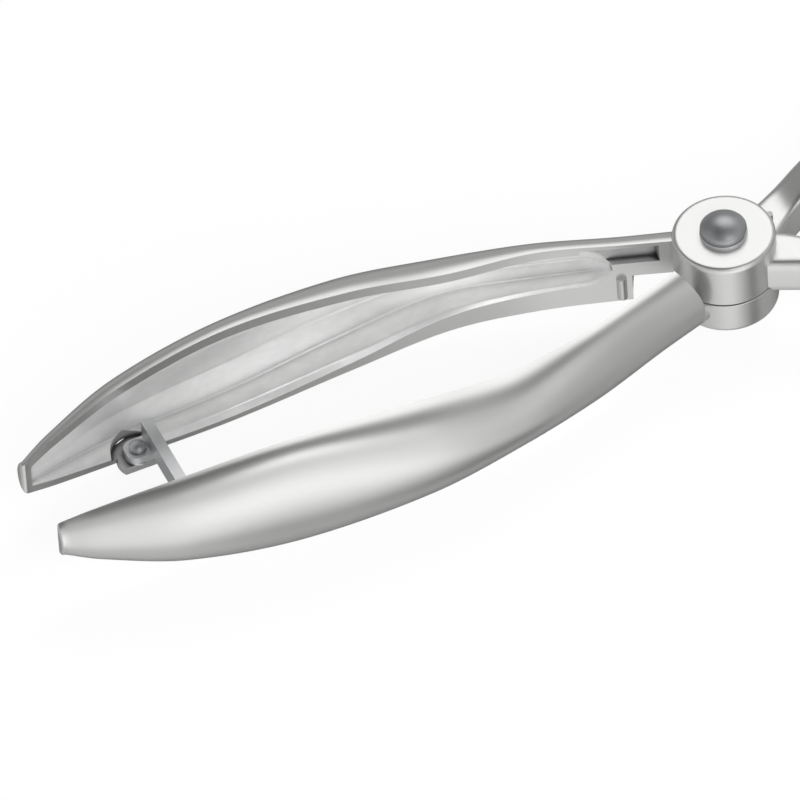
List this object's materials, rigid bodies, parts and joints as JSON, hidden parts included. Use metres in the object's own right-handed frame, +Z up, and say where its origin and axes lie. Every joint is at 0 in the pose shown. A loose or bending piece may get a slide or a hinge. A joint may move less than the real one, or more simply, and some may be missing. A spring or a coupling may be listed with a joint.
{
  "type": "olive pitter",
  "caption": "Pliers-type olive pitter: channel-section cast handles crossing at a riveted barrel, a punch that swings through a guide into a cup, a return spring and a storage latch.",
  "frame": {"origin": "on the pivot axis, at the flat underside of the hub", "axes": "+Z up along the pivot axis, +X towards the head along the line midway between the closed handles, +Y towards the far handle"},
  "size_m": [0.1716, 0.0433, 0.0208],
  "materials": {
    "cast_metal": "polished casting with fine scratches",
    "rivet_steel": "turned grey steel",
    "bright_steel": "bright turned steel",
    "spring_steel": "drawn wire",
    "punch_steel": "ground stainless steel",
    "latch_plate": "pressed plate, smooth"
  },
  "bodies": {
    "upper": {"upper_lever": "cast_metal", "pivot_rivet": "rivet_steel", "dome_washer": "bright_steel", "return_spring": "spring_steel", "cup_seat": "bright_steel", "guide_bush": "bright_steel", "latch_pin": "rivet_steel", "latch_washer": "bright_steel"},
    "lower": {"lower_lever": "cast_metal", "punch": "punch_steel", "punch_screw": "rivet_steel", "catch_peg": "rivet_steel"},
    "latch": {"latch_hook": "latch_plate"}
  },
  "joints": [
    {"name": "handle_pivot", "type": "hinge", "parent": "upper", "child": "lower", "pos_m": [0, 0, 0.007], "axis": [0, 0, 1], "range_deg": [0, 32]},
    {"name": "latch_swing", "type": "hinge", "parent": "upper", "child": "latch", "pos_m": [-0.0944, 0.00964, 0.001], "axis": [0, 0, 1], "range_deg": [-6, 90]}
  ]
}
